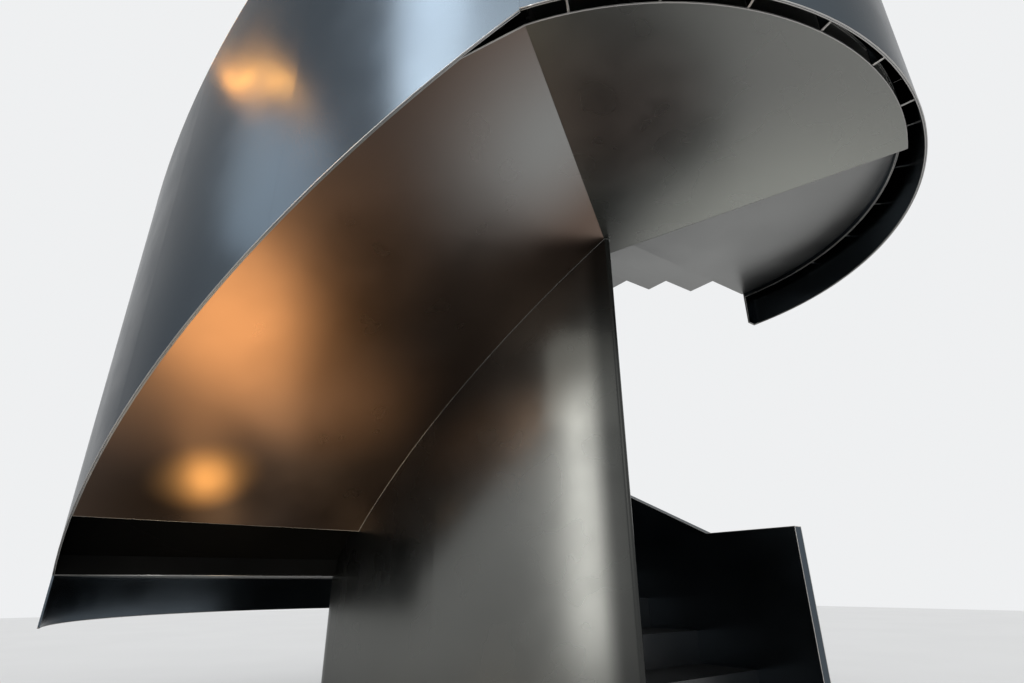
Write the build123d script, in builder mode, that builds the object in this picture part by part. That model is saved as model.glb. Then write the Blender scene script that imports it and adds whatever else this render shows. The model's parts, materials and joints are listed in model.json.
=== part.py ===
from build123d import *
from math import atan2, cos, degrees, radians, sin, sqrt
import os

os.makedirs("parts", exist_ok=True)

# An enclosed winding stair in steel plate, one full turn about a closed oval core. A straight
# flight along +Y reaches the lower landing, a bowed flight comes back, and the upper landing
# leads to an open straight flight right above the first one. The origin is on the floor, on
# the upright line that the upper landing turns about. Lengths are mm, angles degrees.

# Steps
riser = 166.7
going = 350.0
first_treads = 5
bow_treads = 8
last_treads = 4
landing_lead = 50.0
sheet = 8.0
deck_thickness = 90.0
open_side = 20.0

# Plan of the core and the bowed flight
inner_radius = 20.0
clear_width = 1230.0
bow_centre_x = 2412.0
bow_centre_y = 1669.0

# Outer wall, a double skin that is open at the bottom. The outer skin hangs below the soffit
# and the inner one stops above it.
wall_width = 60.0
skin = 8.0
cap = 12.0
guard_height = 1000.0
bow_guard = 1650.0
start_guard_top = 1024.0
start_level_run = 550.0
start_slope_run = 640.0
lower_wall_drop = 215.0
upper_wall_drop = 42.0
upper_drop_change = 50.0
upper_low_side = 20.0
lower_segments = 4
bow_segments = 3
upper_segments = 4
rib_count = 3
rib_sheet = 6.0
rib_height = 110.0
rib_recess = 20.0
foot_thickness = 12.0

# Core and soffit
core_skin = 10.0
base_thickness = 12.0
soffit_sheet = 6.0
soffit_drop = 200.0
soffit_end_angle = -66.8
soffit_end_run = 300.0
slot_lead = 2.6
crease_lead = 5.4
crease_depth = 80.0
fit_gap = 0.3

# End plate that is bolted to the edge of the upper floor
flange_thickness = 15.0
flange_depth = 220.0
anchor_radius = 9.0
anchor_rows = 110.0
anchor_columns = 800.0

# Both landings turn about upright lines and run smoothly into the arc of the bowed flight.
first_run = first_treads * going
last_run = landing_lead + last_treads * going
outer_radius = inner_radius + clear_width
upper_turn = (0.0, 0.0)
bow = (bow_centre_x, bow_centre_y)
bow_reach = sqrt(bow_centre_x**2 + bow_centre_y**2)
bow_overshoot = first_run - bow_centre_y
core_spread = (bow_centre_y**2 - bow_overshoot**2) / (2 * (bow_centre_x + bow_reach))
lower_turn = (-core_spread, first_run)
lower_inner = inner_radius + core_spread
lower_outer = outer_radius + core_spread
bow_inner = bow_reach + inner_radius
bow_outer = bow_reach + outer_radius
bow_start = degrees(atan2(bow_overshoot, -core_spread - bow_centre_x))
bow_end = degrees(atan2(-bow_centre_y, -bow_centre_x)) + 360
crease_angle = bow_start + crease_lead
tread_angle = (bow_end - bow_start) / bow_treads
sheet_angle = degrees(sheet / bow_inner)
gap_angle = degrees(fit_gap / bow_inner)

# Walking levels
lower_level = riser * (first_treads + 1)
upper_level = lower_level + riser * (bow_treads + 1)
floor_level = upper_level + riser * (last_treads + 1)
bow_pitch = 360 * (upper_level - lower_level) / (bow_end - bow_start)


def point(centre, radius, angle):
    """A point of a circle in plan."""
    return (centre[0] + radius * cos(radians(angle)), centre[1] + radius * sin(radians(angle)))


def ring_sector(centre, inner, outer, start, end):
    """A piece of a flat ring in plan."""
    with BuildSketch() as sector:
        with BuildLine():
            CenterArc(centre, inner, start, end - start)
            CenterArc(centre, outer, start, end - start)
            Line(point(centre, inner, start), point(centre, outer, start))
            Line(point(centre, inner, end), point(centre, outer, end))
        make_face()
    return sector.sketch


def rectangle(x0, x1, y0, y1):
    """A rectangle between two corners."""
    with BuildSketch() as area:
        with Locations(((x0 + x1) / 2, (y0 + y1) / 2)):
            Rectangle(x1 - x0, y1 - y0)
    return area.sketch


def polygon(corners):
    """A flat shape with the given corners."""
    with BuildSketch() as shape:
        with BuildLine():
            Polyline(*corners, close=True)
        make_face()
    return shape.sketch


def wall_section(radius, bottom, inner_bottom, top):
    """The double skin of the outer wall with its cap, cut upright through its radius."""
    outside = radius + wall_width
    return polygon([
        (outside, bottom),
        (outside, top),
        (radius, top),
        (radius, inner_bottom),
        (radius + skin, inner_bottom),
        (radius + skin, top - cap),
        (outside - skin, top - cap),
        (outside - skin, bottom),
    ])


def upright_plane(centre, angle, height):
    """The plane through an upright line, with X along the radius and Y up."""
    radial = (cos(radians(angle)), sin(radians(angle)), 0)
    normal = (sin(radians(angle)), -cos(radians(angle)), 0)
    return Plane(origin=(centre[0], centre[1], height), x_dir=radial, z_dir=normal)


def turn(section, centre, start, end):
    """Turn an upright section about a landing's upright line."""
    with BuildPart() as turned:
        with BuildSketch(upright_plane(centre, start, 0)):
            add(section)
        axis = Axis((centre[0], centre[1], 0), (0, 0, 1))
        revolve(axis=axis, revolution_arc=end - start)
    return turned.part


def climb(section, start, end):
    """Sweep an upright section up the bowed flight, level 0 being the line of the landings."""
    rise = bow_pitch / 360
    foot = lower_level + rise * (start - bow_start)
    with BuildPart() as swept:
        with BuildLine() as rail:
            Helix(pitch=bow_pitch, height=rise * (end - start), radius=bow_inner)
        with BuildSketch(Plane.XZ):
            add(section)
        sweep(path=rail.wires()[0], is_frenet=True)
    return swept.part.moved(Location((bow[0], bow[1], foot), (0, 0, start)))


def slab(outline, bottom, top):
    """A level plate."""
    with BuildPart() as plate:
        with BuildSketch(Plane.XY.offset(bottom)):
            add(outline)
        extrude(amount=top - bottom)
    return plate.part


def side_plate(outline, inside, outside):
    """An upright plate along Y, drawn by its Y and Z corners."""
    with BuildPart() as plate:
        with BuildSketch(Plane.YZ.offset(inside)):
            add(outline)
        extrude(amount=outside - inside)
    return plate.part


def leaning_block(height, change, reach, side, upward):
    """A large block that starts at a leaning plane, to trim the edge of a curved wall.

    The plane has the given height at the upright line of a turn. At the given reach it is
    lower by the given change on the named side, and higher by as much on the other side.
    """
    lean = (change / reach * cos(radians(side)), change / reach * sin(radians(side)), 1)
    face = Plane(origin=(height[0], height[1], height[2]), z_dir=lean)
    with BuildPart() as block:
        with BuildSketch(face):
            Rectangle(4 * reach, 4 * reach)
        extrude(amount=reach if upward else -reach)
    return block.part


def save(name, *solids):
    """Join the solids of a piece, label it and write it."""
    with BuildPart() as piece:
        for solid in solids:
            add(solid)
    piece.part.label = name
    export_step(piece.part, f"parts/{name}.step")


def step(name, tread, front, top, thickness):
    """A tread with the riser under its front edge."""
    save(name, slab(tread, top - thickness, top), slab(front, top - riser, top - thickness))


# First flight, between the core and the outer wall
aisle_outside = outer_radius - fit_gap
for number in range(first_treads):
    front = number * going
    step(
        f"first_step_{number + 1}",
        rectangle(inner_radius, aisle_outside, front, front + going + sheet),
        rectangle(inner_radius, aisle_outside, front, front + sheet),
        (number + 1) * riser,
        sheet,
    )

# Bowed flight
bow_inside = bow_inner + fit_gap
bow_outside = bow_outer - fit_gap
for number in range(bow_treads):
    front = bow_start + number * tread_angle
    step(
        f"bow_step_{number + 1}",
        ring_sector(bow, bow_inside, bow_outside, front, front + tread_angle + sheet_angle),
        ring_sector(bow, bow_inside, bow_outside, front, front + sheet_angle),
        lower_level + (number + 1) * riser,
        sheet,
    )

# Last flight, open on its outer side and below, each tread a closed box on the core
for number in range(last_treads):
    front = landing_lead + number * going
    lap = sheet if number < last_treads - 1 else 0
    step(
        f"last_step_{number + 1}",
        rectangle(inner_radius, outer_radius - open_side, front, front + going + lap),
        rectangle(inner_radius, outer_radius - open_side, front, front + sheet),
        upper_level + (number + 1) * riser,
        deck_thickness,
    )

# Landings, each with the riser under its front edge and a strip that the next riser stands on
lower_inside = lower_inner + fit_gap
lower_outside = lower_outer - fit_gap
landing_front = rectangle(inner_radius, aisle_outside, first_run, first_run + sheet)
save(
    "lower_landing",
    slab(
        ring_sector(lower_turn, lower_inside, lower_outside, 0, bow_start),
        lower_level - deck_thickness,
        lower_level,
    ),
    slab(
        ring_sector(bow, bow_inside, bow_outside, bow_start, bow_start + sheet_angle),
        lower_level - deck_thickness,
        lower_level,
    ),
    slab(landing_front, lower_level - riser, lower_level - deck_thickness),
)
turn_start = bow_end - 360
upper_inside = inner_radius + fit_gap
save(
    "upper_landing",
    slab(
        ring_sector(upper_turn, upper_inside, aisle_outside, turn_start, 0),
        upper_level - deck_thickness,
        upper_level,
    ),
    slab(
        rectangle(upper_inside, aisle_outside, 0, landing_lead + sheet),
        upper_level - deck_thickness,
        upper_level,
    ),
    slab(
        ring_sector(bow, bow_inside, bow_outside, bow_end, bow_end + sheet_angle),
        upper_level - riser,
        upper_level - deck_thickness,
    ),
)

# Core: a closed oval of upright plate on a base plate, which also guards the inner side
with BuildSketch() as core_outline:
    with BuildLine():
        CenterArc(upper_turn, inner_radius, bow_end, 360 - bow_end)
        Line((inner_radius, 0), (inner_radius, first_run))
        CenterArc(lower_turn, lower_inner, 0, bow_start)
        CenterArc(bow, bow_inner, bow_start, bow_end - bow_start)
    make_face()
save("core_base", slab(core_outline.sketch, 0, base_thickness))
tip_ring = ring_sector(upper_turn, inner_radius - core_skin, inner_radius, turn_start, 0)
save("core_tip", slab(tip_ring, base_thickness, upper_level + guard_height))
end_ring = ring_sector(lower_turn, lower_inner - core_skin, lower_inner, 0, bow_start)
save("core_end", slab(end_ring, base_thickness, lower_level + guard_height))
front_outline = polygon([
    (0, base_thickness),
    (first_run, base_thickness),
    (first_run, lower_level + guard_height),
    (last_run, floor_level - flange_depth),
    (last_run, floor_level + guard_height),
    (0, upper_level + guard_height),
])
save("core_front", side_plate(front_outline, inner_radius - core_skin, inner_radius))

back_middle = (bow_start + bow_end) / 2
middle_top = (lower_level + upper_level) / 2 + guard_height
end_top = upper_level + guard_height
for name, start, end, top in (
    ("core_back_1", bow_start, back_middle, middle_top),
    ("core_back_2", back_middle, bow_end, end_top),
):
    above = rectangle(bow_inner - 2 * core_skin, bow_inner + core_skin, guard_height, 2 * guard_height)
    with BuildPart() as back:
        add(slab(ring_sector(bow, bow_inner - core_skin, bow_inner, start, end), base_thickness, top))
        add(climb(above, start - sheet_angle, end + sheet_angle), mode=Mode.SUBTRACT)
    save(name, back.part)

# Outer wall along the first flight, down to the floor
def start_outline(front, back, bottom, lowered):
    """The outline of the first wall, with its top lowered by a given depth."""
    level = start_guard_top - lowered
    bend = start_level_run + start_slope_run
    return polygon([
        (front, bottom),
        (front, level),
        (start_level_run, level),
        (bend, level + start_slope_run * riser / going),
        (back, lower_level + guard_height - lowered),
        (back, bottom),
    ])


with BuildPart() as start_wall:
    outside = outer_radius + wall_width
    add(side_plate(start_outline(0, first_run, foot_thickness, 0), outer_radius, outside))
    hollow = start_outline(skin, first_run, foot_thickness, cap)
    add(side_plate(hollow, outer_radius + skin, outside - skin), mode=Mode.SUBTRACT)
save("wall_start", start_wall.part)
save("wall_foot", slab(rectangle(outer_radius, outside, 0, first_run), 0, foot_thickness))

# Outer wall round the lower landing, along the bowed flight and round the upper landing
lower_soffit = lower_level - soffit_drop
upper_soffit = upper_level - soffit_drop
lip = crease_depth + soffit_sheet
inner_rise = lip + fit_gap
lower_bottom = lower_soffit - lower_wall_drop
low_top = lower_level + guard_height
high_top = lower_level + bow_guard
lower_reach = lower_outer + wall_width


def over_lower_wall(lowered):
    """What lies above the rising top of the lower wall, or above its hollow."""
    middle = (lower_turn[0], lower_turn[1], (low_top + high_top) / 2 - lowered)
    return leaning_block(middle, (high_top - low_top) / 2, lower_reach, 0, True)


for number in range(lower_segments):
    start = number * bow_start / lower_segments
    end = start + bow_start / lower_segments
    with BuildPart() as wall:
        add(slab(ring_sector(lower_turn, lower_outer, lower_reach, start, end), lower_bottom, high_top))
        add(over_lower_wall(0), mode=Mode.SUBTRACT)
        with BuildPart(mode=Mode.PRIVATE) as hollow:
            between = ring_sector(lower_turn, lower_outer + skin, lower_reach - skin, start, end)
            add(slab(between, lower_bottom, high_top))
            add(over_lower_wall(cap), mode=Mode.SUBTRACT)
        add(hollow.part, mode=Mode.SUBTRACT)
        below = ring_sector(lower_turn, lower_outer, lower_outer + skin, start, end)
        add(slab(below, lower_bottom, lower_soffit + inner_rise), mode=Mode.SUBTRACT)
    save(f"wall_lower_{number + 1}", wall.part)

bow_section = wall_section(bow_outer, -soffit_drop, inner_rise - soffit_drop, bow_guard)
for number in range(bow_segments):
    width = (bow_end - bow_start) / bow_segments
    start = bow_start + number * width
    save(f"wall_bow_{number + 1}", climb(bow_section, start, start + width - gap_angle))

upper_bottom = upper_soffit - upper_wall_drop - upper_drop_change - skin
upper_top = upper_level + bow_guard
upper_middle = (0, 0, upper_soffit - upper_wall_drop)
upper_reach = outer_radius + wall_width
under_upper_wall = leaning_block(upper_middle, upper_drop_change, upper_reach, upper_low_side, False)
inner_bottom = upper_soffit + inner_rise
upper_section = wall_section(outer_radius, upper_bottom, inner_bottom, upper_top)
for number in range(upper_segments):
    width = -turn_start / upper_segments
    start = turn_start + number * width
    middle = outer_radius + wall_width / 2
    if start + width < soffit_end_angle:
        rib_foot = upper_soffit + soffit_sheet + fit_gap
    else:
        rib_foot = inner_bottom + rib_recess
    with BuildPart() as wall:
        add(turn(upper_section, upper_turn, start, start + width))
        with BuildSketch(Plane.XY.offset(rib_foot)):
            with PolarLocations(middle, rib_count, start + width / rib_count / 2, width):
                Rectangle(wall_width - skin, rib_sheet)
        extrude(amount=rib_height)
        if number == upper_segments - 1:
            with BuildSketch(Plane.XZ):
                add(upper_section)
            extrude(amount=-landing_lead)
            with BuildSketch(Plane.XZ.offset(-landing_lead)):
                add(rectangle(outer_radius, outer_radius + wall_width, upper_bottom, upper_top))
            extrude(amount=skin)
        add(under_upper_wall, mode=Mode.SUBTRACT)
    save(f"wall_upper_{number + 1}", wall.part)

# Soffit plates that close the flights and landings from below
slope = riser / going
soffit_foot = first_run - lower_soffit / slope
first_soffit = polygon([
    (soffit_foot, 0),
    (first_run, lower_soffit),
    (first_run, lower_soffit + soffit_sheet),
    (soffit_foot - soffit_sheet / slope, 0),
])
save("soffit_first", side_plate(first_soffit, upper_inside, aisle_outside))

hidden_edge = wall_width - skin - fit_gap
bow_rim = bow_outer + hidden_edge
lower_rim = lower_outer + hidden_edge
soffit_rim = outer_radius + skin - fit_gap
lower_plate = ring_sector(lower_turn, lower_inside, lower_rim, 0, bow_start)
save("soffit_lower", slab(lower_plate, lower_soffit, lower_soffit + soffit_sheet))
raised = rectangle(bow_inside, bow_rim, crease_depth - soffit_drop, lip - soffit_drop)
save(
    "soffit_bow_low",
    climb(raised, bow_start, crease_angle - gap_angle),
    slab(
        ring_sector(bow, bow_inside, bow_rim, bow_start, bow_start + sheet_angle),
        lower_soffit,
        lower_soffit + lip,
    ),
)
main = rectangle(bow_inside, bow_rim, -soffit_drop, soffit_sheet - soffit_drop)
edge = rectangle(bow_inside, bow_rim, -soffit_drop, lip - soffit_drop)
slot_start = bow_end - slot_lead
open_slot = polygon([
    point(bow, bow_rim + fit_gap, slot_start),
    point(upper_turn, soffit_rim, turn_start),
    point(upper_turn, upper_reach, turn_start),
    point(bow, bow_outer + wall_width, slot_start),
])
with BuildPart() as bow_high:
    add(climb(main, crease_angle, bow_end - gap_angle))
    add(climb(edge, crease_angle, crease_angle + sheet_angle))
    add(slab(open_slot, lower_soffit, upper_level), mode=Mode.SUBTRACT)
save("soffit_bow_high", bow_high.part)

with BuildSketch() as upper_outline:
    with BuildLine():
        CenterArc(upper_turn, soffit_rim, turn_start, soffit_end_angle - turn_start)
        Line(point(upper_turn, soffit_rim, soffit_end_angle), (upper_inside, soffit_end_run))
        Line((upper_inside, soffit_end_run), (upper_inside, 0))
        CenterArc(upper_turn, upper_inside, turn_start, -turn_start)
        Line(point(upper_turn, upper_inside, turn_start), point(upper_turn, soffit_rim, turn_start))
    make_face()
save("soffit_upper", slab(upper_outline.sketch, upper_soffit, upper_soffit + soffit_sheet))

# End plate on the edge of the upper floor, which is the last riser too
plate_middle = (inner_radius - core_skin + outer_radius - open_side) / 2
plate_width = outer_radius - open_side - inner_radius + core_skin
with BuildPart() as end_plate:
    with BuildSketch(Plane.XZ.offset(-last_run)):
        with Locations((plate_middle, floor_level - flange_depth / 2)):
            Rectangle(plate_width, flange_depth)
            with GridLocations(anchor_columns, anchor_rows, 2, 2):
                Circle(anchor_radius, mode=Mode.SUBTRACT)
    extrude(amount=-flange_thickness)
save("end_plate", end_plate.part)
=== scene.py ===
import bpy, bmesh, json
from math import cos, pi, radians, sin
from mathutils import Euler, Matrix, Vector
from mathutils.bvhtree import BVHTree


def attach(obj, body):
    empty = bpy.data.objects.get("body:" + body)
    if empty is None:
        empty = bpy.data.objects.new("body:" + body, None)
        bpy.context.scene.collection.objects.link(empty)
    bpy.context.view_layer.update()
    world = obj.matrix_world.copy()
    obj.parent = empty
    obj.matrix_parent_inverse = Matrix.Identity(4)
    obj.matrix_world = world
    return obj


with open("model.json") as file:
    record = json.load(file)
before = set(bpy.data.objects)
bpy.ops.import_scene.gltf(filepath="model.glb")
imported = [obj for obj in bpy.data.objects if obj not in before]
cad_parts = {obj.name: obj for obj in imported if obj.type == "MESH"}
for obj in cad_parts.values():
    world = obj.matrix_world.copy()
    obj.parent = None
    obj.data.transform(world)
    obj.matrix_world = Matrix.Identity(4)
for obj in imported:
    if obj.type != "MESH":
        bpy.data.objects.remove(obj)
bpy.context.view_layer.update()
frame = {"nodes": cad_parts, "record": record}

scene = bpy.context.scene
nodes = frame["nodes"]

# The photograph is taken from below the turn, looking up along the core.
cameraView = {
    "place": (-1.789, -1.676, 0.7505),
    "pitch": 22.94,
    "heading": 36.04,
    "roll": -0.35,
    "focal": 574.3,  # pixels of an image 1024 wide
    "imageWidth": 1024,
    "sensor": 36,  # mm
    "farthest": 200,
}


def makeCamera(values):
    data = bpy.data.cameras.new("photoCamera")
    data.sensor_width = values["sensor"]
    data.lens = values["focal"] / values["imageWidth"] * values["sensor"]
    data.clip_end = values["farthest"]
    camera = bpy.data.objects.new("photoCamera", data)
    turn = Euler((radians(90 + values["pitch"]), 0, radians(-values["heading"]))).to_matrix()
    turn = turn @ Matrix.Rotation(radians(values["roll"]), 3, "Z")
    camera.matrix_world = Matrix.Translation(values["place"]) @ turn.to_4x4()
    scene.collection.objects.link(camera)
    scene.camera = camera


makeCamera(cameraView)
print("camera set")


def newMaterial(name):
    material = bpy.data.materials.new(name)
    material.use_nodes = True
    tree = material.node_tree
    tree.nodes.clear()
    out = tree.nodes.new("ShaderNodeOutputMaterial")
    shader = tree.nodes.new("ShaderNodeBsdfPrincipled")
    tree.links.new(shader.outputs["BSDF"], out.inputs["Surface"])
    return material, tree, shader


def addNoise(tree, source, scale, detail, stretch=(1, 1, 1)):
    mapping = tree.nodes.new("ShaderNodeMapping")
    mapping.inputs["Scale"].default_value = stretch
    tree.links.new(source, mapping.inputs["Vector"])
    noise = tree.nodes.new("ShaderNodeTexNoise")
    noise.inputs["Scale"].default_value = scale
    noise.inputs["Detail"].default_value = detail
    tree.links.new(mapping.outputs["Vector"], noise.inputs["Vector"])
    return noise.outputs["Fac"]


def addRamp(tree, factor, dark, light, span=(0.3, 0.7)):
    ramp = tree.nodes.new("ShaderNodeValToRGB")
    ramp.color_ramp.interpolation = "EASE"
    for element, place, colour in zip(ramp.color_ramp.elements, span, (dark, light)):
        element.position = place
        element.color = (*colour, 1)
    tree.links.new(factor, ramp.inputs["Fac"])
    return ramp.outputs["Color"]


def addRange(tree, factor, low, high, start=0.0, end=1.0, kind="LINEAR"):
    span = tree.nodes.new("ShaderNodeMapRange")
    span.interpolation_type = kind
    span.inputs["From Min"].default_value = start
    span.inputs["From Max"].default_value = end
    span.inputs["To Min"].default_value = low
    span.inputs["To Max"].default_value = high
    tree.links.new(factor, span.inputs["Value"])
    return span.outputs["Result"]


def addMath(tree, operation, first, second):
    node = tree.nodes.new("ShaderNodeMath")
    node.operation = operation
    for socket, value in zip(node.inputs, (first, second)):
        if isinstance(value, float):
            socket.default_value = value
        else:
            tree.links.new(value, socket)
    return node.outputs["Value"]


def addPaintedPatch(tree, coords, colour, paintedPatch):
    # painted light and shade laid over the patina's colour: a patch that fades out round its centre, or
    # round an upright line where it has "plan"
    keep = Vector((1, 1, 0 if paintedPatch.get("plan") else 1))
    flat = tree.nodes.new("ShaderNodeVectorMath")
    flat.operation = "MULTIPLY"
    flat.inputs[1].default_value = keep
    tree.links.new(coords, flat.inputs[0])
    reach = tree.nodes.new("ShaderNodeVectorMath")
    reach.operation = "DISTANCE"
    reach.inputs[1].default_value = Vector(paintedPatch["centre"]) * keep
    tree.links.new(flat.outputs["Vector"], reach.inputs[0])
    away = reach.outputs["Value"]
    share = addRange(tree, away, paintedPatch["share"], 0.0, paintedPatch.get("hold", 0), paintedPatch["reach"], "SMOOTHSTEP")
    mix = tree.nodes.new("ShaderNodeMix")
    mix.data_type = "RGBA"
    under, over = mix.inputs[6], mix.inputs[7]  # the colour sockets
    over.default_value = (*paintedPatch["colour"], 1)
    tree.links.new(share, mix.inputs["Factor"])
    tree.links.new(colour, under)
    return mix.outputs[2]


# Waxed steel plate: a broad cloudy patina, fine mill grain and faint rub marks under the wax.
surfaceMarks = {
    "clouds": (0.9, 1.5),  # scale and detail of the noise
    "mottle": (4.5, 2),
    "specks": (14, 1),
    "grain": (2.5, 0),
    "mottleShift": 0.05,  # how far the patina moves between its dark and its light
    "speckShift": 0.008,
    "rubShares": (0.93, 0.07),  # mottle and specks
    "rubSpan": (0.25, 0.75),
    "bumpStrength": 0.025,
    "bumpDepth": 0.0004,
}
wallFinish = {
    "dark": (0.074, 0.09, 0.107),
    "light": (0.098, 0.117, 0.134),
    "edgeTint": 0.48,  # how much of a metal's usual shine is left at a grazing look
    "rough": (0.2, 0.25),
    "grain": (4, 4, 50),
    "paintedPatches": [
        # painted shade: the wall darkens round its lower far part
        {"centre": (-1.79, 1.15, 1.3), "hold": 0.1, "reach": 1.1, "share": 0.75,
         "colour": (0.025, 0.04, 0.06)},
    ],
}
coreFinish = {
    "dark": (0.112, 0.113, 0.106),
    "light": (0.15, 0.152, 0.144),
    "edgeTint": 0.6,
    "rough": (0.24, 0.29),
    "grain": (50, 50, 3),
    "paintedPatches": [
        # painted shade: a dark band down the core's tip, standing in for its dark reflection
        {"centre": (0.03, -0.05, 0), "plan": True, "hold": 0.1, "reach": 0.19, "share": 0.85,
         "colour": (0.03, 0.031, 0.03)},
    ],
}
# The bow soffit's bronze is partly its own colour and partly painted warm reflection.
bowFinish = {
    "dark": (0.12, 0.084, 0.066),
    "light": (0.17, 0.122, 0.097),
    "edgeTint": 0.6,
    "rough": (0.27, 0.32),
    "grain": (40, 6, 6),
    "paintedPatches": [
        # painted reflection: pale grey near the upper crease
        {"centre": (-0.7, -0.42, 2.28), "plan": True, "reach": 0.62, "share": 0.95,
         "colour": (0.31, 0.31, 0.3)},
        # painted warm reflection: gold patch over the gold lamp
        {"centre": (-0.85, 0.76, 1.5), "reach": 0.5, "share": 0.85,
         "colour": (0.45, 0.255, 0.155)},
        # painted shade: the bow darkens towards its lower crease
        {"centre": (-1.5, 1.3, 1.1), "reach": 0.75, "share": 0.9,
         "colour": (0.04, 0.023, 0.012)},
        # painted warm reflection: broad golden patch on the lower bow
        {"centre": (-1.55, 0.38, 1.62), "reach": 0.95, "share": 0.92,
         "colour": (0.55, 0.275, 0.125)},
        # painted highlight: small warm spot near the underside's foot
        {"centre": (-1.38, 1.16, 1.19), "reach": 0.26, "share": 0.9,
         "colour": (0.6, 0.32, 0.12)},
    ],
}
landingFinish = {
    "dark": (0.2, 0.198, 0.187),
    "light": (0.25, 0.251, 0.236),
    "edgeTint": 0.6,
    "rough": (0.26, 0.31),
    "grain": (40, 6, 6),
    "paintedPatches": [
        # painted highlight: pale warm patch at the landing soffit's left end
        {"centre": (-0.6, -0.52, 2.3), "reach": 0.52, "share": 0.9,
         "colour": (0.44, 0.36, 0.32)},
        # painted reflection: pale grey of the floor on the landing soffit's right part
        {"centre": (0.5, -0.6, 2.3), "hold": 0.2, "reach": 0.95, "share": 0.9,
         "colour": (0.38, 0.385, 0.35)},
    ],
}
treadFinish = {
    "dark": (0.27, 0.27, 0.264),
    "light": (0.34, 0.34, 0.333),
    "edgeTint": 0.6,
    "rough": (0.32, 0.4),
    "grain": (60, 6, 6),
    "paintedPatches": [],
}
# Painted shade: a darker copy of the tread steel for the first steps, bow steps and lower landing, which
# lie in shade under the stair.
paintedShadeTreadFinish = {
    "dark": (0.1, 0.101, 0.102),
    "light": (0.13, 0.131, 0.132),
    "edgeTint": 0.5,
    "rough": (0.3, 0.38),
    "grain": (60, 6, 6),
    "paintedPatches": [],
}
# Painted shade: near-black steel for the lower bow soffit and the slot sheet, standing in for the dark
# hollow beyond them.
paintedShadeRecessFinish = {
    "dark": (0.004, 0.004, 0.004),
    "light": (0.008, 0.008, 0.0075),
    "edgeTint": 0.3,
    "rough": (0.55, 0.7),
    "grain": (6, 6, 6),
    "paintedPatches": [],
}
edgeFinish = {
    "dark": (0.3, 0.29, 0.275),
    "light": (0.5, 0.485, 0.465),
    "edgeTint": 0.8,
    "rough": (0.22, 0.4),
    "grain": (30, 30, 30),
    "paintedPatches": [],
}


def steelMaterial(name, values):
    material, tree, shader = newMaterial(name)
    coords = tree.nodes.new("ShaderNodeTexCoord").outputs["Object"]
    marks = surfaceMarks
    mottle = addNoise(tree, coords, *marks["mottle"])
    specks = addNoise(tree, coords, *marks["specks"])
    grain = addNoise(tree, coords, *marks["grain"], values["grain"])
    patina = addNoise(tree, coords, *marks["clouds"])
    for noise, shift in ((mottle, marks["mottleShift"]), (specks, marks["speckShift"])):
        patina = addMath(tree, "ADD", patina, addRange(tree, noise, -shift, shift))
    colour = addRamp(tree, patina, values["dark"], values["light"])
    # the painted light and shade patches go over the patina colour
    for paintedPatch in values["paintedPatches"]:
        colour = addPaintedPatch(tree, coords, colour, paintedPatch)
    tree.links.new(colour, shader.inputs["Base Color"])
    shader.inputs["Metallic"].default_value = 1.0
    shader.inputs["Specular Tint"].default_value = (*[values["edgeTint"]] * 3, 1)
    shares = zip((mottle, specks), marks["rubShares"])
    rub = addMath(tree, "ADD", *[addMath(tree, "MULTIPLY", noise, share) for noise, share in shares])
    rough = addRange(tree, rub, *values["rough"], *marks["rubSpan"], "SMOOTHSTEP")
    tree.links.new(rough, shader.inputs["Roughness"])
    bump = tree.nodes.new("ShaderNodeBump")
    bump.inputs["Strength"].default_value = marks["bumpStrength"]
    bump.inputs["Distance"].default_value = marks["bumpDepth"]
    tree.links.new(grain, bump.inputs["Height"])
    tree.links.new(bump.outputs["Normal"], shader.inputs["Normal"])
    return material


finishes = {
    "wall_steel": steelMaterial("satinWallSteel", wallFinish),
    "core_steel": steelMaterial("satinCoreSteel", coreFinish),
    "soffit_steel": steelMaterial("greySoffitSteel", landingFinish),
    "tread_steel": steelMaterial("brushedTreadSteel", treadFinish),
    # near-black: painted shade
    "recess_steel": steelMaterial("paintedShadeRecessSteel", paintedShadeRecessFinish),
}
bronzeSteelPaintedLight = steelMaterial("bronzeSoffitSteelPaintedLight", bowFinish)
groundSteel = steelMaterial("groundEdgeSteel", edgeFinish)
paintedShadeTreadSteel = steelMaterial("paintedShadeTreadSteel", paintedShadeTreadFinish)
# steps and landing that get the painted shade copy of the tread steel
paintedShadeTreads = ("first_step", "bow_step", "lower_landing")


def paintNode(name, material):
    for slot in nodes[name].material_slots:
        slot.material = material


for part in frame["record"]["subparts"]:
    name = part["node"]
    paintNode(name, paintedShadeTreadSteel if name.startswith(paintedShadeTreads) else finishes[part["material_slot"]])
# the bow soffit gets the bronze steel with its painted light and shade
paintNode("soffit_bow_high", bronzeSteelPaintedLight)
print("materials assigned")


# The plates' free edges are ground bright: a fine bead follows each of them.
edgeBeads = {
    "sides": 8,
    "sharpest": radians(50),  # edges that turn by more than this are ground
    "joinGap": 0.0012,  # pieces that meet share no free edge
    "seamGap": 0.005,  # an upright edge nearer than this to another piece is a joint
    "upright": 0.95,  # rise over length
    "groups": {  # slot, bead radius, steepest edge that gets a bead, pieces
        "wallEdges": ("wall_steel", 0.0024, 1.0, ("wall_start", "wall_lower", "wall_bow", "wall_upper")),
        "soffitEdges": ("soffit_steel", 0.002, 1.0, ("soffit_bow_high", "soffit_upper")),
        "recessEdges": ("recess_steel", 0.0028, 0.3, ("soffit_bow_low",)),
        "coreEdges": ("core_steel", 0.0014, 1.0, ("core_tip", "core_front", "core_back")),
    },
}


def surfaceTrees():
    trees = []
    for piece in nodes.values():
        faces = [face.vertices for face in piece.data.polygons]
        trees.append(BVHTree.FromPolygons([vert.co for vert in piece.data.vertices], faces))
    return trees


def touchesNext(edge, trees, gap):
    # the nearest surface is the edge's own piece, the second is its neighbour
    middle = (edge.verts[0].co + edge.verts[1].co) / 2
    near = sorted(tree.find_nearest(middle)[3] for tree in trees)
    return near[1] < gap


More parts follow.
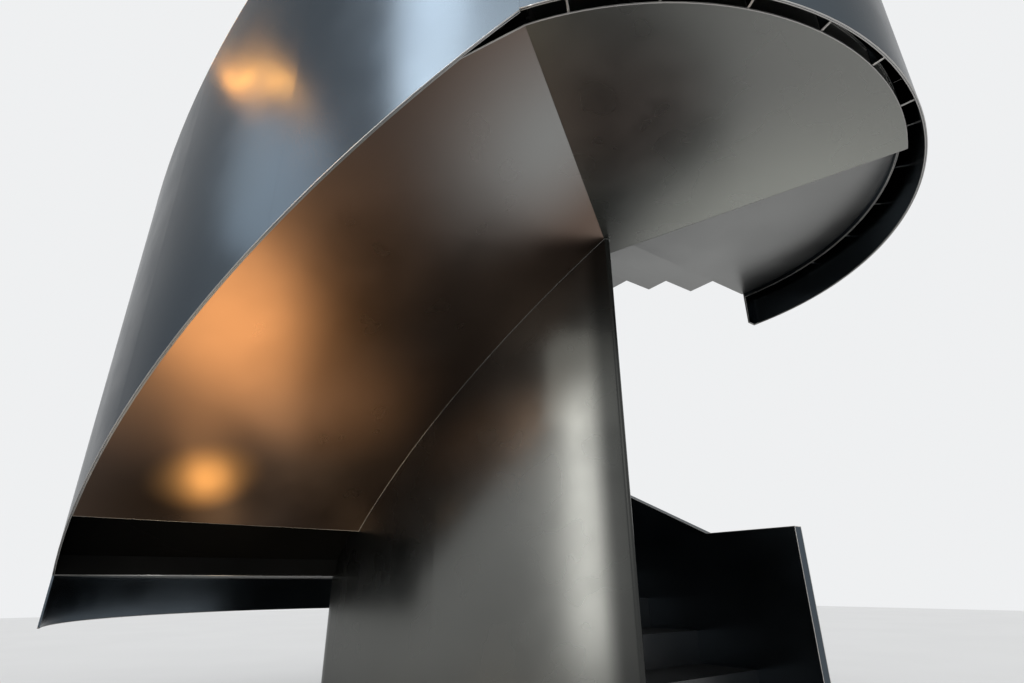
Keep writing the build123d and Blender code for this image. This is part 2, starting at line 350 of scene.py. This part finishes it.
def freeEdges(starts, radius, steepest, trees, values):
    work = bmesh.new()
    for name, piece in nodes.items():
        if name.startswith(starts):
            work.from_mesh(piece.data)
    bmesh.ops.remove_doubles(work, verts=work.verts, dist=values["joinGap"])
    work.normal_update()
    shift = {}
    pairs = []
    for edge in work.edges:
        if len(edge.link_faces) != 2 or not edge.is_convex or edge.calc_face_angle(0) < values["sharpest"]:
            continue
        rise = abs(edge.verts[0].co.z - edge.verts[1].co.z) / max(edge.calc_length(), 1e-6)
        if rise > steepest or rise > values["upright"] and touchesNext(edge, trees, values["seamGap"]):
            continue
        inward = -(edge.link_faces[0].normal + edge.link_faces[1].normal).normalized()
        pairs.append([vert.index for vert in edge.verts])
        for vert in edge.verts:
            shift.setdefault(vert.index, []).append(inward)
    work.verts.ensure_lookup_table()
    order = {index: place for place, index in enumerate(sorted(shift))}
    points = []
    for index in sorted(shift):
        inward = sum(shift[index], Vector()) / len(shift[index])
        points.append(work.verts[index].co + inward * radius)
    work.free()
    mesh = bpy.data.meshes.new("edgePath")
    mesh.from_pydata(points, [[order[a], order[b]] for a, b in pairs], [])
    return mesh


def beadTree():
    tree = bpy.data.node_groups.new("edgeBead", "GeometryNodeTree")
    tree.interface.new_socket("Geometry", in_out="INPUT", socket_type="NodeSocketGeometry")
    radius = tree.interface.new_socket("Bead radius", in_out="INPUT", socket_type="NodeSocketFloat")
    sides = tree.interface.new_socket("Bead sides", in_out="INPUT", socket_type="NodeSocketInt")
    finish = tree.interface.new_socket("Finish", in_out="INPUT", socket_type="NodeSocketMaterial")
    tree.interface.new_socket("Geometry", in_out="OUTPUT", socket_type="NodeSocketGeometry")
    source = tree.nodes.new("NodeGroupInput")
    path = tree.nodes.new("GeometryNodeMeshToCurve")
    ring = tree.nodes.new("GeometryNodeCurvePrimitiveCircle")
    sweep = tree.nodes.new("GeometryNodeCurveToMesh")
    sweep.inputs["Fill Caps"].default_value = True
    smooth = tree.nodes.new("GeometryNodeSetShadeSmooth")
    realize = tree.nodes.new("GeometryNodeRealizeInstances")
    paint = tree.nodes.new("GeometryNodeSetMaterial")
    out = tree.nodes.new("NodeGroupOutput")
    tree.links.new(source.outputs["Geometry"], path.inputs["Mesh"])
    tree.links.new(source.outputs["Bead radius"], ring.inputs["Radius"])
    tree.links.new(source.outputs["Bead sides"], ring.inputs["Resolution"])
    tree.links.new(path.outputs["Curve"], sweep.inputs["Curve"])
    tree.links.new(ring.outputs["Curve"], sweep.inputs["Profile Curve"])
    tree.links.new(sweep.outputs["Mesh"], smooth.inputs["Geometry"])
    tree.links.new(smooth.outputs["Geometry"], realize.inputs["Geometry"])
    tree.links.new(realize.outputs["Geometry"], paint.inputs["Geometry"])
    tree.links.new(source.outputs["Finish"], paint.inputs["Material"])
    tree.links.new(paint.outputs["Geometry"], out.inputs["Geometry"])
    return tree, {"radius": radius.identifier, "sides": sides.identifier, "finish": finish.identifier}


def realized(name, mesh, tree, inputs):
    source = bpy.data.objects.new(name + "Path", mesh)
    scene.collection.objects.link(source)
    modifier = source.modifiers.new("bead", "NODES")
    modifier.node_group = tree
    for identifier, value in inputs.items():
        modifier[identifier] = value
    graph = bpy.context.evaluated_depsgraph_get()
    made = bpy.data.meshes.new_from_object(source.evaluated_get(graph))
    source.modifiers.clear()
    bpy.data.objects.remove(source)
    piece = bpy.data.objects.new(name, made)
    scene.collection.objects.link(piece)
    return piece


def makeEdgeBeads(values):
    tree, sockets = beadTree()
    trees = surfaceTrees()
    for name, (slot, radius, steepest, starts) in values["groups"].items():
        path = freeEdges(starts, radius, steepest, trees, values)
        given = {"radius": radius, "sides": values["sides"], "finish": groundSteel}
        piece = realized(name, path, tree, {sockets[key]: value for key, value in given.items()})
        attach(piece, "root")
        print(name, len(piece.data.polygons), "faces")


makeEdgeBeads(edgeBeads)
print("ground edges made")


# A small near-black sheet closes the slot between the wall's skins where the bow meets the upper landing:
# painted shade for the dark gap.
slotShadeSheet = {
    "inner": 1.225,  # radii about the upper turn
    "outer": 1.302,
    "start": -150.0,  # degrees
    "end": -144.9,
    "height": 2.345,
    "thick": 0.004,
    "steps": 12,
}


def makeSlotShadeSheet(values):
    work = bmesh.new()
    rings = []
    for level in (values["height"], values["height"] + values["thick"]):
        for radius in (values["inner"], values["outer"]):
            ring = []
            for step in range(values["steps"] + 1):
                share = step / values["steps"]
                angle = radians(values["start"] + share * (values["end"] - values["start"]))
                ring.append(work.verts.new((radius * cos(angle), radius * sin(angle), level)))
            rings.append(ring)
    lowInner, lowOuter, highInner, highOuter = rings
    around = [lowInner, lowOuter, highOuter, highInner]
    for step in range(values["steps"]):
        for here, following in zip(around, around[1:] + around[:1]):
            work.faces.new((here[step], here[step + 1], following[step + 1], following[step]))
    work.faces.new([ring[0] for ring in around])
    work.faces.new([ring[-1] for ring in around])
    bmesh.ops.recalc_face_normals(work, faces=work.faces)
    mesh = bpy.data.meshes.new("slotShadeSheet")
    work.to_mesh(mesh)
    work.free()
    # near-black steel: painted shade
    mesh.materials.append(finishes["recess_steel"])
    piece = bpy.data.objects.new("slotShadeSheet", mesh)
    scene.collection.objects.link(piece)
    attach(piece, "root")


makeSlotShadeSheet(slotShadeSheet)
print("slot cover made")


# Plain studio: a pale floor and backdrop under an even sky.
studio = {
    "floorSize": 40.0,
    "floorColour": (0.74, 0.74, 0.73),
    "floorShade": 0.98,  # the darker clouds of the floor
    "floorClouds": (0.8, 2),
    "floorRough": 0.9,
    "floorGloss": 0.1,
    "backdropColour": (0.86, 0.87, 0.88),
    "fillColour": (0.97, 0.98, 1.0),
    "fillStrength": 1.0,
}


def makeFloor(values):
    half = values["floorSize"] / 2
    mesh = bpy.data.meshes.new("studioFloor")
    corners = [(-half, -half, 0), (half, -half, 0), (half, half, 0), (-half, half, 0)]
    mesh.from_pydata(corners, [], [(0, 1, 2, 3)])
    floor = bpy.data.objects.new("studioFloor", mesh)
    scene.collection.objects.link(floor)
    material, tree, shader = newMaterial("paleFloor")
    coords = tree.nodes.new("ShaderNodeTexCoord").outputs["Object"]
    light = values["floorColour"]
    dark = [values["floorShade"] * part for part in light]
    shade = addRamp(tree, addNoise(tree, coords, *values["floorClouds"]), dark, light)
    tree.links.new(shade, shader.inputs["Base Color"])
    shader.inputs["Roughness"].default_value = values["floorRough"]
    shader.inputs["Specular IOR Level"].default_value = values["floorGloss"]
    mesh.materials.append(material)


def makeWorld(values):
    world = bpy.data.worlds.new("studioWorld")
    world.use_nodes = True
    scene.world = world
    tree = world.node_tree
    tree.nodes.clear()
    out = tree.nodes.new("ShaderNodeOutputWorld")
    path = tree.nodes.new("ShaderNodeLightPath")
    direct = addMath(tree, "MAXIMUM", path.outputs["Is Camera Ray"], path.outputs["Is Glossy Ray"])
    direct = addMath(tree, "MAXIMUM", direct, path.outputs["Is Transmission Ray"])
    blend = tree.nodes.new("ShaderNodeMixShader")
    tree.links.new(direct, blend.inputs["Fac"])
    skies = ((values["fillColour"], values["fillStrength"]), (values["backdropColour"], 1.0))
    for place, (colour, strength) in enumerate(skies, 1):
        sky = tree.nodes.new("ShaderNodeBackground")
        sky.inputs["Color"].default_value = (*colour, 1)
        sky.inputs["Strength"].default_value = strength
        tree.links.new(sky.outputs["Background"], blend.inputs[place])
    tree.links.new(blend.outputs["Shader"], out.inputs["Surface"])


# The lamps show only as reflections in the steel, and the world alone lights the floor.
# "glow" is the light of a lamp's face, so that its size can change alone.
lamps = {
    "windowLamp": {  # wide and soft, from the right
        "place": (7.0, 0.5, 3.2), "aim": (0.5, 0.2, 1.0),
        "size": (4.0, 3.5), "glow": 1.7, "colour": (1.0, 0.99, 0.97),
    },
    "skyLamp": {  # long light on the upper wall
        "place": (-4.7, -0.24, 6.65), "aim": (-1.22, -0.46, 2.38),
        "size": (1.0, 2.6), "glow": 9.0, "colour": (0.95, 0.98, 1.0),
    },
    "sideSkyLamp": {  # its paler neighbour
        "place": (-4.45, -1.5, 6.66), "aim": (-1.15, -0.62, 2.33),
        "size": (1.8, 2.6), "glow": 2.7, "colour": (0.93, 0.97, 1.0),
    },
    "coolLamp": {  # cool sheen on the wall's middle
        "place": (-5.5, 2.9, 5.4), "aim": (-1.5, 0.05, 2.0),
        "size": (2.3, 1.8), "glow": 2.0, "colour": (0.85, 0.93, 1.0),
    },
    "coreLamp": {  # upright light on the core
        "place": (-4.16, -0.98, 1.55), "aim": (-0.1, 0.1, 1.4),
        "size": (0.48, 3.0), "glow": 9.0, "colour": (1.0, 0.99, 0.96),
    },
    "coreTopLamp": {  # carries that light up under the bow
        "place": (-0.54, -0.03, 1.76), "aim": (-0.1, 0.1, 1.7),
        "along": (0, 1, 0), "size": (0.5, 0.5), "glow": 0.85, "colour": (1.0, 0.99, 0.94),
    },
    "frontLamp": {  # wide and soft, from the camera's side
        "place": (-1.5, -6.5, 2.6), "aim": (-0.2, 0.0, 1.8),
        "size": (4.0, 3.0), "glow": 1.2, "colour": (1.0, 0.98, 0.95),
    },
    "spotLamp": {  # warm spot high on the wall
        "place": (-3.6, 2.38, 5.35), "aim": (-1.59, 0.26, 2.59),
        "along": (-0.36, -0.92, -0.17), "size": (1.4, 0.12), "glow": 45.0, "colour": (1.0, 0.4, 0.08),
    },
    "goldLamp": {  # gold on the bow's underside
        "place": (-0.8, 0.75, 0.03), "aim": (-0.8, 0.75, 3.0),
        "along": (1, 0.5, 0), "size": (1.1, 0.85), "glow": 1.8, "colour": (1.0, 0.8, 0.56),
    },
    "footLamp": {  # warm spot at the underside's foot
        "place": (-1.08, 1.59, 0.03), "aim": (-1.08, 1.59, 3.0),
        "along": (1, 0, 0), "size": (0.26, 0.36), "glow": 3.2, "colour": (1.0, 0.78, 0.5),
    },
}


def makeLamp(name, values):
    data = bpy.data.lights.new(name, "AREA")
    data.shape = "RECTANGLE"
    data.size, data.size_y = values["size"]
    data.energy = values["glow"] * pi * data.size * data.size_y
    data.color = values["colour"]
    lamp = bpy.data.objects.new(name, data)
    place = Vector(values["place"])
    back = (place - Vector(values["aim"])).normalized()
    along = Vector(values.get("along", Vector((0, 0, 1)).cross(back)))
    along = (along - back * along.dot(back)).normalized()
    turn = Matrix((along, back.cross(along), back)).transposed()
    lamp.matrix_world = Matrix.Translation(place) @ turn.to_4x4()
    lamp.visible_camera = False
    lamp.visible_diffuse = False
    scene.collection.objects.link(lamp)


makeFloor(studio)
makeWorld(studio)
for name, values in lamps.items():
    makeLamp(name, values)
scene.view_settings.view_transform = "Standard"
print("studio lit")
